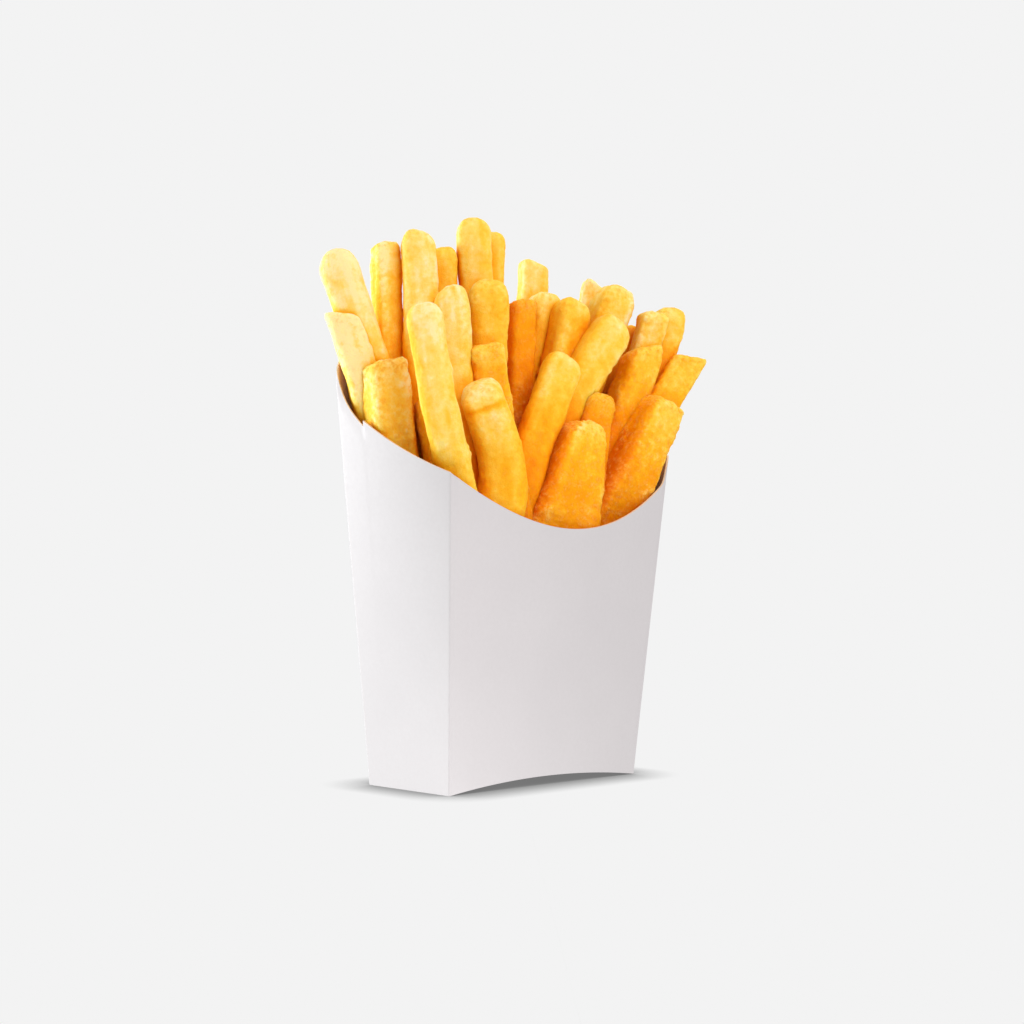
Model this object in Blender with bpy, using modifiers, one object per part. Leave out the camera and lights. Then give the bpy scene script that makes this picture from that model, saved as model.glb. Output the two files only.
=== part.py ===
"""French fries standing in a folded paperboard scoop carton.

Two pieces: the carton, one folded and glued blank with a swept rim and an
arched base, and the fries, one solid out to the uneven outline of the heap.
"""
import math

import bmesh
import bpy
import numpy as np
from mathutils import Vector

MM = 0.001

# Carton, in millimetres. X runs along the front panel, Y to the back panel.
BASE_WIDTH = 80.0
BASE_DEPTH = 33.0
WIDTH_FLARE = 0.075          # growth of the half width per millimetre of height
DEPTH_FLARE = 0.062          # growth of the half depth per millimetre of height
BASE_ARCH = 2.6              # the front and back bottom edges rise this much midway
FRONT_RIM_LOW = 74.8         # middle of the scooped front rim
FRONT_CORNER_RISE = 15.2     # the scoop climbs by this much to the corners
HORN = 7.8                   # the right front corner stands this much over the left one
HORN_POWER = 60              # the front rim reaches it in a steep last climb
HORN_COLUMN = 0.965          # which has a column of its own
HORN_FADE = 4                # and the right side rim leaves it more gently
SIDE_RISE = 14.6             # the side rim climbs to the back in three terms
SIDE_CURVE = 7.5
SIDE_FLICK = 8.0
SIDE_FLICK_POWER = 21
BACK_RISE = 9.0              # the back rim stands this much over its corners
FRONT_BULGE = 6.0            # the fries push the panels out at the rim
SIDE_BULGE = 2.4
BACK_BULGE = 3.0
BULGE_POWER = 1.5            # the push fades towards the base
BOARD = 0.5                  # thickness of the board
LAP_AT = 0.735               # the glued lap on the left side, front 0 to back 1
LAP_STEP = 0.010             # length of the step down to the flap, same scale
FLAP_DROP = 2.0              # the flap's rim starts this much below the outer layer's
PANEL_COLUMNS = 16
LAP_COLUMNS = 9
FLAP_COLUMNS = 5
PANEL_ROWS = 8
MERGE_DISTANCE = 0.02        # panels that meet along a crease become one skin

# Heap of fries, in millimetres.
WALL_GAP = 0.4               # clear space between the heap and the board
CLEARANCE_RISE = 1.2         # the clearance shell stands this much over the rim
CORE_FRONT = 66.0            # top of the packed core at the front panel
CORE_BACK = 92.0             # and at the back panel
CORE_LEVELS = 5
CORE_FLOOR = 1.0             # the core starts this far above the arched bottom
CROSSING_LEVEL = 85.0        # height where each fry's place in the carton is given
FOOT_LEVEL = 58.0            # the separate fries run down into the core to here
FOOT_INSET = 1.5             # their feet keep this far inside the board
TIP_CHAMFER = 2.6
TIP_SCALE = 0.72
THICKNESS_RATIO = 0.95       # a fry is cut a little thinner than it is wide
EDGE_ROUNDING = 0.22         # bevel of its long edges, as a share of the width
FRY_TURN = 38.0              # turn about its own length, in degrees
FRY_TURN_SPREAD = 14.0       # neighbours differ by up to this much either way
FRY_TURN_STEP = 2.4          # step of the sine that spreads them
FRY_SLICES = 6
SPINE_STEP = 0.02            # share of the length between points that give an axis

# Each fry: its X and Y at the crossing level, then X, Y and height of its tip,
# its width, and how far its middle bows towards +X.
FRONT_ROW = [
    (-39.8, 5, -42.6, 10, 122, 14, 0),
    (-37, -16, -45.6, -8.6, 137.5, 10.7, -1.5),
    (-21.8, -17.5, -29.2, -14.5, 115.4, 13.5, 2),
    (-9, -11, 12.2, -10.5, 126, 12.6, 0),
    (7.5, -15, 12.5, -18, 106.5, 16, 0),
    (33, -13.5, 48, -20, 114.5, 16, 0),
]
SECOND_ROW = [
    (-39, 14.8, -50.7, 19.6, 135.5, 10, 3),
    (-31, -5, -33, 1, 112, 10, 0),
    (-25, -6, -26, 0.5, 144.5, 11, 0),
    (-13, -11, -17.3, -5.5, 127.5, 11, 0),
    (-11.5, 0, -9, 1.5, 148, 13, 0),
    (-2, -1, 33, -13, 138, 13, 0),
    (12, -9, 14, -4, 112, 9.5, 0),
    (18.8, -11, 24.8, -12.5, 115.6, 12, 0),
    (29, -7, 46.5, -13, 131, 13, 0),
    (34, -10, 65.6, -18.2, 128, 11, -1.5),
]
THIRD_ROW = [
    (-21, 11.5, -51.8, 22.2, 154.3, 11.4, -3),
    (-28.7, 7, -26.7, 13, 161.5, 10.9, 0),
    (5.5, 3, 12, 7.5, 143.5, 9.5, 0),
    (12, -1, 27, 0, 144.8, 12.2, 0),
    (11, 8, 23.7, 8.5, 147, 10, 0),
    (21, 7, 44.3, -4, 150, 13, 0),
    (32, 0, 52, -12, 142.5, 9.5, 4),
    (35.5, -3, 60.4, -11.8, 144.5, 11.2, 5),
]
BACK_ROW = [
    (-32.7, 16, -31.2, 22.5, 158, 9.4, 0),
    (-14, 13, -13, 17, 158.2, 9.5, 0),
    (-3.5, 8, -4.5, 12.5, 167.5, 10.8, 0),
    (3, 16, 5.5, 14.5, 164.5, 9.5, 0),
    (19, 14, 28.7, 18, 157, 9.8, 0),
    (31, 10, 47, 8.5, 151.3, 8.5, 0),
    (-22, 17, -20, 19, 147, 9, 0),
    (13, 17, 15, 20.5, 144, 9.5, 0),
    (28, 17, 37, 20, 138, 9, 0),
    (37.5, 14, 46, 20, 138, 10, 0),
    (35, 8, 57, -1, 138, 10, -1),
    (-6, 17, -4, 22.5, 141, 9, 0),
]


def half_width(z):
    return BASE_WIDTH / 2 + WIDTH_FLARE * z


def half_depth(z):
    return BASE_DEPTH / 2 + DEPTH_FLARE * z


def base_arch(across):
    """Height of the arched bottom at -1 (left) to 1 (right)."""
    return BASE_ARCH * (1 - across * across)


def front_rim(across):
    horn = HORN * max(0.0, across) ** HORN_POWER
    return FRONT_RIM_LOW + FRONT_CORNER_RISE * across ** 2 + horn


def side_rim(back):
    """Height of a side rim at 0 (front corner) to 1 (back corner)."""
    climb = SIDE_RISE * back + SIDE_CURVE * back ** 2 + SIDE_FLICK * back ** SIDE_FLICK_POWER
    return front_rim(-1) + climb


def right_rim(back):
    return side_rim(back) + HORN * (1 - back) ** HORN_FADE


def left_rim(back):
    """Past the lap the rim is the glue flap's, which is cut a little lower."""
    if back <= LAP_AT:
        return side_rim(back)
    return side_rim(back) - FLAP_DROP * (1 - back) / (1 - LAP_AT)


def back_rim(across):
    return side_rim(1) + BACK_RISE * math.sqrt(max(0.0, 1 - across * across))


def lap_inset(across, back):
    """Past the lap the left side is the glue flap, one board further in."""
    return BOARD * (1 - across) / 2 if back > LAP_AT else 0.0


def side_stations():
    """Columns of a side panel: the outer layer, the step, then the glue flap."""
    layer = np.linspace(0, LAP_AT, LAP_COLUMNS + 1)
    flap = np.linspace(LAP_AT + LAP_STEP, 1, FLAP_COLUMNS + 1)
    return list(layer) + list(flap)


def bulge(size, across, up):
    """How far a panel is pushed out, from its bottom edge 0 to its rim 1."""
    return size * max(0.0, 1 - across ** 2) * up ** BULGE_POWER


def front_point(across, up):
    low = base_arch(across)
    z = low + (front_rim(across) - low) * up
    y = -half_depth(z) - bulge(FRONT_BULGE, across, up)
    return Vector((across * half_width(z), y, z))


def back_point(across, up):
    low = base_arch(across)
    z = low + (back_rim(across) - low) * up
    x = across * half_width(z) + lap_inset(across, 1)
    return Vector((x, half_depth(z) + bulge(BACK_BULGE, across, up), z))


def right_point(back, up):
    z = right_rim(back) * up
    x = half_width(z) + bulge(SIDE_BULGE, 2 * back - 1, up)
    return Vector((x, (2 * back - 1) * half_depth(z), z))


def left_point(back, up):
    z = left_rim(back) * up
    x = -half_width(z) + lap_inset(-1, back) - bulge(SIDE_BULGE, 2 * back - 1, up)
    return Vector((x, (2 * back - 1) * half_depth(z), z))


def bottom_point(across, back):
    z = base_arch(across)
    x = across * half_width(z) + lap_inset(across, back)
    return Vector((x, (2 * back - 1) * half_depth(z), z))


def add_panel(bm, columns, rows, place):
    """A flat grid whose points are moved to place(column value, row value)."""
    made = bmesh.ops.create_grid(
        bm, x_segments=len(columns) - 1, y_segments=len(rows) - 1, size=1)
    for vert in made["verts"]:
        column = round((vert.co.x + 1) / 2 * (len(columns) - 1))
        row = round((vert.co.y + 1) / 2 * (len(rows) - 1))
        vert.co = place(columns[column], rows[row]) * MM


def new_object(name, bm, collection):
    mesh = bpy.data.meshes.new(name)
    bm.to_mesh(mesh)
    bm.free()
    obj = bpy.data.objects.new(name, mesh)
    collection.objects.link(obj)
    return obj


def carton_surface():
    """The outer skin of the carton, open at the rim, normals outward."""
    bm = bmesh.new()
    across = sorted(list(np.linspace(-1, 1, PANEL_COLUMNS + 1)) + [HORN_COLUMN])
    rows = list(np.linspace(0, 1, PANEL_ROWS + 1))
    sides = side_stations()
    add_panel(bm, across, rows, front_point)
    add_panel(bm, across, rows, back_point)
    add_panel(bm, sides, rows, left_point)
    add_panel(bm, sides, rows, right_point)
    add_panel(bm, across, sides, bottom_point)
    bmesh.ops.remove_doubles(bm, verts=bm.verts, dist=MERGE_DISTANCE * MM)
    bmesh.ops.recalc_face_normals(bm, faces=bm.faces)
    return bm


def make_material(name, colour, roughness):
    material = bpy.data.materials.new(name)
    material.use_nodes = True
    shader = material.node_tree.nodes["Principled BSDF"]
    shader.inputs["Base Color"].default_value = (*colour, 1)
    shader.inputs["Roughness"].default_value = roughness
    shader.inputs["Metallic"].default_value = 0.0
    return material


def make_carton(collection):
    carton = new_object("carton", carton_surface(), collection)
    board = carton.modifiers.new("board", "SOLIDIFY")
    board.thickness = BOARD * MM
    board.offset = -1
    board.use_even_offset = True
    carton.data.materials.append(make_material("white board", (0.86, 0.84, 0.84), 0.75))
    return carton


def make_clearance(collection):
    """The carton's wall grown on both faces, which keeps the fries off the board."""
    bm = carton_surface()
    for vert in bm.verts:
        if vert.is_boundary:
            vert.co.z += CLEARANCE_RISE * MM
    clearance = new_object("wall clearance", bm, collection)
    wall = clearance.modifiers.new("wall", "SOLIDIFY")
    wall.thickness = (BOARD + 2 * WALL_GAP) * MM
    wall.offset = -BOARD / (BOARD + 2 * WALL_GAP)
    wall.use_even_offset = True
    return clearance


def make_core(collection):
    """The packed lower fries: the carton's inside, up to a sloping top."""
    inset = BOARD + WALL_GAP
    bm = bmesh.new()
    bmesh.ops.create_cube(bm, size=2)
    upright = [e for e in bm.edges if abs(e.verts[0].co.z - e.verts[1].co.z) > 1]
    bmesh.ops.subdivide_edges(bm, edges=upright, cuts=CORE_LEVELS - 1)
    lengthwise = [e for e in bm.edges if abs(e.verts[0].co.x - e.verts[1].co.x) > 1]
    bmesh.ops.subdivide_edges(bm, edges=lengthwise, cuts=PANEL_COLUMNS - 1, use_grid_fill=True)
    for vert in bm.verts:
        across, back, level = vert.co
        up = (level + 1) / 2
        low = base_arch(across) + BOARD + CORE_FLOOR
        top = CORE_FRONT + (CORE_BACK - CORE_FRONT) * (back + 1) / 2
        z = low + (top - low) * up
        x = across * (half_width(z) - inset - BOARD)
        y = back * (half_depth(z) - inset)
        vert.co = Vector((x, y, z)) * MM
    bmesh.ops.recalc_face_normals(bm, faces=bm.faces)
    return new_object("fries", bm, collection)


def fry_spine(fry, share):
    """Point on a fry's middle line, 0 at its foot and 1 at its tip."""
    x, y, tip_x, tip_y, tip_z, width, bow = fry
    foot = (FOOT_LEVEL - CROSSING_LEVEL) / (tip_z - CROSSING_LEVEL)
    along = foot + (1 - foot) * share
    point = Vector((x, y, CROSSING_LEVEL)).lerp(Vector((tip_x, tip_y, tip_z)), along)
    point.x += 4 * bow * along * (1 - along)
    if point.z < CROSSING_LEVEL:
        room_x = half_width(point.z) - BOARD - FOOT_INSET - width / 2
        room_y = half_depth(point.z) - BOARD - FOOT_INSET - width / 2
        across = point.x / half_width(point.z)
        front_room_y = room_y + bulge(FRONT_BULGE, across, point.z / FRONT_RIM_LOW)
        point.x = min(max(point.x, -room_x), room_x)
        point.y = min(max(point.y, -front_room_y), room_y)
    return point


def make_fry(index, fry, collection):
    """A bevelled square stick, sliced across and laid along its spine."""
    width = fry[5]
    length = (fry_spine(fry, 1) - fry_spine(fry, 0)).length
    bm = bmesh.new()
    bmesh.ops.create_cube(bm, size=1)
    long_edges = [e for e in bm.edges if abs(e.verts[0].co.z - e.verts[1].co.z) > 0.5]
    bmesh.ops.bevel(bm, geom=long_edges, offset=EDGE_ROUNDING, segments=1, affect="EDGES")
    long_edges = [e for e in bm.edges if abs(e.verts[0].co.z - e.verts[1].co.z) > 0.5]
    bmesh.ops.subdivide_edges(bm, edges=long_edges, cuts=FRY_SLICES - 1)
    turn = math.radians(FRY_TURN + FRY_TURN_SPREAD * math.sin(FRY_TURN_STEP * index))
    shares = list(np.linspace(0, 1 - TIP_CHAMFER / length, FRY_SLICES)) + [1.0]
    for vert in bm.verts:
        slice_number = round((vert.co.z + 0.5) * FRY_SLICES)
        share = shares[slice_number]
        ahead = fry_spine(fry, min(share + SPINE_STEP, 1.0))
        behind = fry_spine(fry, max(share - SPINE_STEP, 0.0))
        axis = (ahead - behind).normalized()
        side = Vector((math.cos(turn), math.sin(turn), 0))
        side = (side - axis * side.dot(axis)).normalized()
        other = axis.cross(side)
        scale = TIP_SCALE if slice_number == FRY_SLICES else 1.0
        across = side * vert.co.x * width * scale
        through = other * vert.co.y * width * THICKNESS_RATIO * scale
        vert.co = (fry_spine(fry, share) + across + through) * MM
    bmesh.ops.recalc_face_normals(bm, faces=bm.faces)
    return new_object("fry %02d" % index, bm, collection)


def keep_largest_body(obj):
    """Drops closed-in pockets and clipped crumbs, and keeps the one heap."""
    bm = bmesh.new()
    bm.from_mesh(obj.data)
    unseen = set(bm.verts)
    bodies = []
    while unseen:
        start = unseen.pop()
        body = {start}
        front = [start]
        while front:
            vert = front.pop()
            for edge in vert.link_edges:
                other = edge.other_vert(vert)
                if other in unseen:
                    unseen.remove(other)
                    body.add(other)
                    front.append(other)
        bodies.append(body)
    largest = max(bodies, key=len)
    dropped = [vert for body in bodies if body is not largest for vert in body]
    bmesh.ops.delete(bm, geom=dropped, context="VERTS")
    bm.to_mesh(obj.data)
    bm.free()


def apply_modifiers(obj):
    evaluated = obj.evaluated_get(bpy.context.evaluated_depsgraph_get())
    mesh = bpy.data.meshes.new_from_object(evaluated)
    obj.modifiers.clear()
    obj.data = mesh


def make_fries(collection, cutters):
    fries = make_core(collection)
    rows = FRONT_ROW + SECOND_ROW + THIRD_ROW + BACK_ROW
    sticks = bpy.data.collections.new("sticks")
    cutters.children.link(sticks)
    for index, fry in enumerate(rows):
        make_fry(index, fry, sticks)
    join = fries.modifiers.new("join sticks", "BOOLEAN")
    join.operation = "UNION"
    join.operand_type = "COLLECTION"
    join.collection = sticks
    join.solver = "EXACT"
    clear = fries.modifiers.new("clear of the board", "BOOLEAN")
    clear.operation = "DIFFERENCE"
    clear.object = make_clearance(cutters)
    clear.solver = "EXACT"
    apply_modifiers(fries)
    keep_largest_body(fries)
    fries.data.materials.clear()
    fries.data.materials.append(make_material("fried potato", (0.90, 0.52, 0.10), 0.5))
    return fries


def centre_over_origin(parts):
    """Puts the middle of the whole part's box over the origin."""
    bpy.context.view_layer.update()
    xs = [vert.co.x for obj in parts for vert in obj.data.vertices]
    ys = [vert.co.y for obj in parts for vert in obj.data.vertices]
    middle = Vector(((min(xs) + max(xs)) / 2, (min(ys) + max(ys)) / 2, 0))
    for obj in parts:
        for vert in obj.data.vertices:
            vert.co -= middle


def main():
    for obj in list(bpy.data.objects):
        bpy.data.objects.remove(obj, do_unlink=True)
    part = bpy.data.collections.new("french_fries_in_a_carton")
    cutters = bpy.data.collections.new("cutters")
    bpy.context.scene.collection.children.link(part)
    bpy.context.scene.collection.children.link(cutters)
    carton = make_carton(part)
    fries = make_fries(part, cutters)
    centre_over_origin([carton, fries])
    for cutter in cutters.all_objects:
        cutter.hide_render = True
        cutter.display_type = "WIRE"


main()
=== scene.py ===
import math

import bmesh
import bpy
import numpy as np
from mathutils import Matrix, Vector
from mathutils.noise import noise as noiseAt


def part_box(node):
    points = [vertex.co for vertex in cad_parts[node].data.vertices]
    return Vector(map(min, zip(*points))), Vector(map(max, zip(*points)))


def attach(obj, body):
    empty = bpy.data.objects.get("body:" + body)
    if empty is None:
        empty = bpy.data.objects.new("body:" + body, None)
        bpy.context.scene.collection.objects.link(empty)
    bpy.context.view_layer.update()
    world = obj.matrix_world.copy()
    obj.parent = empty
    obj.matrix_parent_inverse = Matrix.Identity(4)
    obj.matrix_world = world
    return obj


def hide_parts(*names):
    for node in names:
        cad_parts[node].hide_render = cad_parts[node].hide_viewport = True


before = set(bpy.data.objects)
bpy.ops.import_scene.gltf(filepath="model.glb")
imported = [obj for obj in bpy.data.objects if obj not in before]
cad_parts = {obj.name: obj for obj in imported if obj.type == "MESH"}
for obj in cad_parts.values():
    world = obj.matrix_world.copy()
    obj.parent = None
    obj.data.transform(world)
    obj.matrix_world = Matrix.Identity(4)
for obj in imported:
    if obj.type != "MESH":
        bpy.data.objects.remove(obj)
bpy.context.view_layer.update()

print("frame loaded:", sorted(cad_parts))

# small helpers for pieces and node trees

def newPiece(name, mesh):
    piece = bpy.data.objects.new(name, mesh)
    bpy.context.scene.collection.objects.link(piece)
    return piece


def bakedMesh(piece):                   # the piece's mesh as its modifiers leave it
    graph = bpy.context.evaluated_depsgraph_get()
    mesh = bpy.data.meshes.new_from_object(piece.evaluated_get(graph))
    piece.modifiers.clear()
    piece.data = mesh
    return piece


def addNode(tree, kind, **settings):
    node = tree.nodes.new(kind)
    for name, value in settings.items():
        setattr(node, name, value)
    return node


def plug(tree, socket, value):          # a link for a socket, a plain value otherwise
    if isinstance(value, bpy.types.NodeSocket):
        tree.links.new(value, socket)
    else:
        socket.default_value = value


def maths(tree, operation, *values, clamp=False):
    node = addNode(tree, "ShaderNodeMath", operation=operation, use_clamp=clamp)
    for socket, value in zip(node.inputs, values):
        plug(tree, socket, value)
    return node.outputs[0]


def product(tree, first, *others):      # multiplied from left to right
    for other in others:
        first = maths(tree, "MULTIPLY", first, other)
    return first


def total(tree, first, *others):        # added from left to right
    for other in others:
        first = maths(tree, "ADD", first, other)
    return first


def centred(tree, value):               # 0 to 1 becomes -0.5 to 0.5
    return maths(tree, "SUBTRACT", value, 0.5)


def vectorMaths(tree, operation, *values):
    node = addNode(tree, "ShaderNodeVectorMath", operation=operation)
    for socket, value in zip(node.inputs, values):
        plug(tree, socket, value)
    return node.outputs["Value" if operation in ("DOT_PRODUCT", "LENGTH") else "Vector"]


def scaledVector(tree, vector, amount):
    node = addNode(tree, "ShaderNodeVectorMath", operation="SCALE")
    plug(tree, node.inputs[0], vector)
    plug(tree, node.inputs["Scale"], amount)
    return node.outputs["Vector"]


def splitVector(tree, vector):
    node = addNode(tree, "ShaderNodeSeparateXYZ")
    plug(tree, node.inputs[0], vector)
    return node.outputs


def joinVector(tree, *values):
    node = addNode(tree, "ShaderNodeCombineXYZ")
    for socket, value in zip(node.inputs, values):
        plug(tree, socket, value)
    return node.outputs[0]


def mapRange(tree, value, fromLow, fromHigh, toLow=0.0, toHigh=1.0, smooth=False):
    node = addNode(tree, "ShaderNodeMapRange", clamp=True)
    node.interpolation_type = "SMOOTHSTEP" if smooth else "LINEAR"
    for socket, number in zip(node.inputs, (value, fromLow, fromHigh, toLow, toHigh)):
        plug(tree, socket, number)
    return node.outputs["Result"]


def noise(tree, vector, scale, detail=2.0, roughness=0.5, seed=None):
    node = addNode(tree, "ShaderNodeTexNoise")
    node.noise_dimensions = "3D" if seed is None else "4D"
    if seed is not None:
        plug(tree, node.inputs["W"], seed)
    plug(tree, node.inputs["Vector"], vector)
    plug(tree, node.inputs["Scale"], scale)
    node.inputs["Detail"].default_value = detail
    node.inputs["Roughness"].default_value = roughness
    return node.outputs[0]


def mixColour(tree, factor, first, second):
    node = addNode(tree, "ShaderNodeMix", data_type="RGBA")
    plug(tree, node.inputs["Factor"], factor)
    plug(tree, node.inputs[6], first)   # the two colour sockets, and the colour put out
    plug(tree, node.inputs[7], second)
    return node.outputs[2]


# materials

def newMaterial(name):
    material = bpy.data.materials.new(name)
    material.use_nodes = True
    tree = material.node_tree
    shader = tree.nodes["Principled BSDF"]
    where = addNode(tree, "ShaderNodeTexCoord").outputs["Object"]
    return material, tree, shader, where


def grainBump():                        # shared: fine surface grain as a normal
    tree = bpy.data.node_groups.new("grainBump", "ShaderNodeTree")
    face = tree.interface
    for name in ("Coarse", "Fine", "Fine Share", "Strength", "Distance"):
        face.new_socket(name, in_out="INPUT", socket_type="NodeSocketFloat")
    face.new_socket("Place", in_out="INPUT", socket_type="NodeSocketVector")
    face.new_socket("Normal", in_out="OUTPUT", socket_type="NodeSocketVector")
    given = addNode(tree, "NodeGroupInput").outputs
    coarse = noise(tree, given["Place"], given["Coarse"], 3.0, 0.55)
    fine = noise(tree, given["Place"], given["Fine"], 3.0, 0.6)
    bump = addNode(tree, "ShaderNodeBump")
    height = maths(tree, "MULTIPLY_ADD", fine, given["Fine Share"], coarse)
    plug(tree, bump.inputs["Height"], height)
    plug(tree, bump.inputs["Strength"], given["Strength"])
    plug(tree, bump.inputs["Distance"], given["Distance"])
    out = addNode(tree, "NodeGroupOutput")
    plug(tree, out.inputs["Normal"], bump.outputs["Normal"])
    return tree


grainGroup = grainBump()


def addGrain(tree, shader, where, values):
    node = addNode(tree, "ShaderNodeGroup", node_tree=grainGroup)
    plug(tree, node.inputs["Place"], where)
    for name, value in values.items():
        node.inputs[name].default_value = value
    plug(tree, shader.inputs["Normal"], node.outputs["Normal"])


boardLooks = {                          # cloud and fibre: scale, detail and roughness of a noise
    "white_board": {
        "cloud": (38.0, 2.0, 0.5),
        "cloudTints": ((0.585, 0.568, 0.574, 1), (0.605, 0.588, 0.593, 1)),
        "fibre": (900.0, 3.0, 0.6),
        "fibreTint": (0.56, 0.542, 0.547, 1),
        "fibreRange": (0.35, 0.7, 0.0, 0.25),
        "roughBy": "fibre",
        "roughness": (0.62, 0.82),
        "specular": 0.3,
        "grain": {"Coarse": 450.0, "Fine": 2200.0, "Fine Share": 0.6,
                  "Strength": 0.25, "Distance": 0.00008},
    },
    "kraft_inside": {
        "cloud": (60.0, 3.0, 0.5),
        "cloudTints": ((0.76, 0.51, 0.28, 1), (0.66, 0.42, 0.22, 1)),
        "fibre": (1300.0, 4.0, 0.65),
        "fibreTint": (0.50, 0.29, 0.14, 1),
        "fibreRange": (0.4, 0.75, 0.0, 0.5),
        "roughBy": "cloud",
        "roughness": (0.6, 0.85),
        "specular": 0.5,
        "grain": {"Coarse": 500.0, "Fine": 2400.0, "Fine Share": 0.8,
                  "Strength": 0.4, "Distance": 0.0001},
    },
    "board_edge": {
        "cloud": (1600.0, 3.0, 0.6),
        "cloudTints": ((0.80, 0.66, 0.47, 1), (0.70, 0.52, 0.33, 1)),
        "roughBy": "cloud",
        "roughness": (0.7, 0.9),
        "specular": 0.5,
        "grain": {"Coarse": 900.0, "Fine": 3000.0, "Fine Share": 0.7,
                  "Strength": 0.4, "Distance": 0.00008},
    },
}


def boardMaterial(name):
    look = boardLooks[name]
    material, tree, shader, where = newMaterial(name)
    noises = {key: noise(tree, where, *look[key]) for key in ("cloud", "fibre") if key in look}
    share = mapRange(tree, noises["cloud"], 0.3, 0.7)
    tint = mixColour(tree, share, *look["cloudTints"])
    if "fibre" in look:
        share = mapRange(tree, noises["fibre"], *look["fibreRange"])
        tint = mixColour(tree, share, tint, look["fibreTint"])
    rough = mapRange(tree, noises[look["roughBy"]], 0.3, 0.7, *look["roughness"])
    plug(tree, shader.inputs["Base Color"], tint)
    plug(tree, shader.inputs["Roughness"], rough)
    shader.inputs["Specular IOR Level"].default_value = look["specular"]
    addGrain(tree, shader, where, look["grain"])
    return material


potatoLook = {
    "tones": (                          # share of the way from pale to deep, and its colour
        (0.0, (1.0, 0.79, 0.38)),
        (0.1, (1.0, 0.69, 0.17)),
        (0.22, (0.99, 0.59, 0.058)),
        (0.36, (0.97, 0.48, 0.014)),
        (0.5, (0.95, 0.385, 0.004)),
        (0.7, (0.89, 0.30, 0.0012)),
        (1.0, (0.78, 0.195, 0.0003)),
    ),
    "blotch": (170.0, 5.0, 0.62),       # three noises: scale, detail and roughness
    "speck": (620.0, 3.0, 0.6),
    "fine": (1300.0, 3.0, 0.6),
    "blotchTone": (0.3, 0.2),           # for crispness, and for any fry
    "speckTone": (0.4, 0.2),
    "raisedTone": -0.10,
    "creviceShadeReach": 0.008,                # painted shade: surfaces this near deepen the tone
    "creviceShadeRange": (0.85, 0.2),
    "creviceShadeTone": 0.46,
    "lowShadeHeights": (0.124, 0.084),       # painted shade: the tone deepens on the way down
    "lowShadeTone": 0.41,
    "lowShadeSides": (-0.040, -0.004),       # and does so less towards the left, where the key lamp shines
    "lowShadeLeast": 0.1,
    # pale dry crumbs and painted highlights on raised spots
    "crumbGlintTint": (1.0, 0.68, 0.17, 1),
    "crumbGlintRelief": (0.15, 1.0),
    "crumbGlintAtEnd": 0.7,
    "crumbGlintSpeck": (0.48, 0.68, 0.0, 0.7),
    "crumbGlintFine": (0.36, 0.62),
    "crumbGlintAmount": (0.6, 0.02),         # for crispness, and for any fry
    "rimTint": (0.82, 0.25, 0.004, 1),
    "rimAtEdge": 0.5,
    "rimSpeck": (0.52, 0.66),
    "rimAmount": (0.6, 0.03),
    "roughness": (0.42, 0.68),
    "specular": 0.06,
    "softness": 0.5,                    # light that passes through the surface, and how far
    "softRadius": (1.0, 0.6, 0.2),
    "softScale": 0.003,
    "grain": {"Coarse": 650.0, "Fine": 2600.0, "Fine Share": 0.5,
              "Strength": 0.7, "Distance": 0.0004},
}


def potatoTone(tree, where, crust, relief, blotch, speck):      # pale at 0, deep at 1
    look = potatoLook
    mottle = maths(tree, "MULTIPLY_ADD", relief["Y"], *look["blotchTone"])
    tone = maths(tree, "MULTIPLY_ADD", centred(tree, blotch), mottle, crust["X"])
    speckle = maths(tree, "MULTIPLY_ADD", relief["Y"], *look["speckTone"])
    tone = maths(tree, "MULTIPLY_ADD", centred(tree, speck), speckle, tone)
    tone = maths(tree, "MULTIPLY_ADD", relief["X"], look["raisedTone"], tone)
    # painted shade: the tone deepens where other surfaces are near, in the crevices between fries
    near = addNode(tree, "ShaderNodeAmbientOcclusion", samples=8)
    near.inputs["Distance"].default_value = look["creviceShadeReach"]
    creviceShade = mapRange(tree, near.outputs["AO"], *look["creviceShadeRange"], 0.0, look["creviceShadeTone"])
    spot = splitVector(tree, where)
    # painted shade: deeper lower down in the carton, and less so towards the lit left
    low = mapRange(tree, spot["Z"], *look["lowShadeHeights"], 0.0, look["lowShadeTone"], smooth=True)
    right = mapRange(tree, spot["X"], *look["lowShadeSides"], look["lowShadeLeast"], 1.0)
    return total(tree, tone, creviceShade, product(tree, low, right))


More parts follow.
